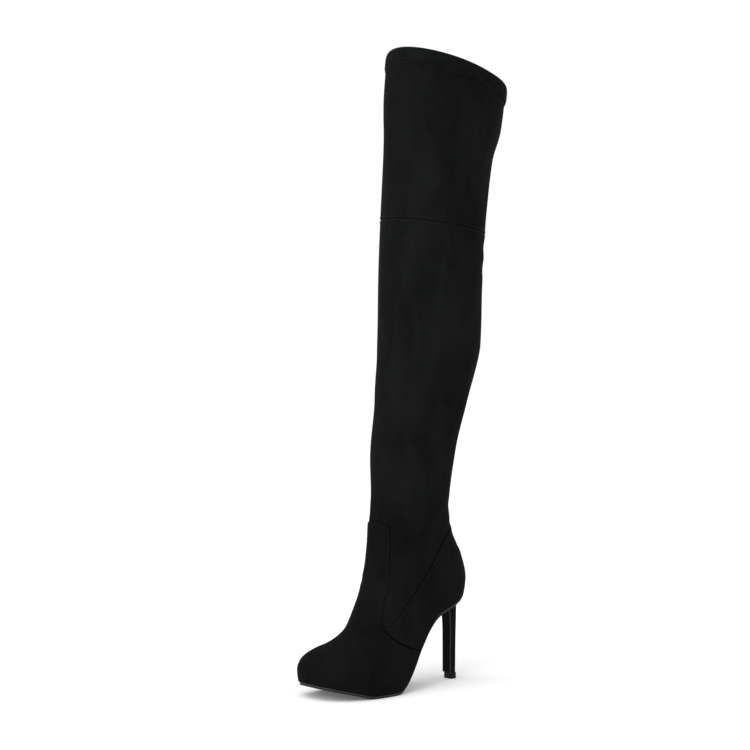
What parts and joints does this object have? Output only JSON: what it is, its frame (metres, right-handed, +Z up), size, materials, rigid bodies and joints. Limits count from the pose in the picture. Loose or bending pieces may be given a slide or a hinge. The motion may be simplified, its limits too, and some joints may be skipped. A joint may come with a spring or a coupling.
{
  "type": "thigh high boot",
  "caption": "Left over-the-knee stretch boot with round toe, hidden platform, slim covered heel and an inner zip.",
  "frame": {"origin": "middle of the heel tip's underside, on the floor", "axes": "+Z up the leg; -Y from heel to toe; +X to the outer side of the left foot"},
  "size_m": [0.1332, 0.2716, 0.7238],
  "materials": {
    "suede": "matt nap",
    "hem": "matt nap, elastic",
    "sole": "satin",
    "lining": "satin",
    "zip_metal": "dark satin"
  },
  "bodies": {
    "boot": {"top_band": "hem", "thigh_panel": "suede", "upper": "suede", "outsole": "sole", "insole": "lining", "heel": "suede", "heel_tip": "sole", "zip_chain": "zip_metal", "zip_slider": "zip_metal"},
    "pull": {"zip_pull": "zip_metal"}
  },
  "joints": [
    {"name": "pull_swing", "type": "hinge", "parent": "boot", "child": "pull", "pos_m": [-0.05406, -0.05938, 0.38769], "axis": [-0.3565, 0.9315, -0.0724], "range_deg": [0, 160]}
  ]
}
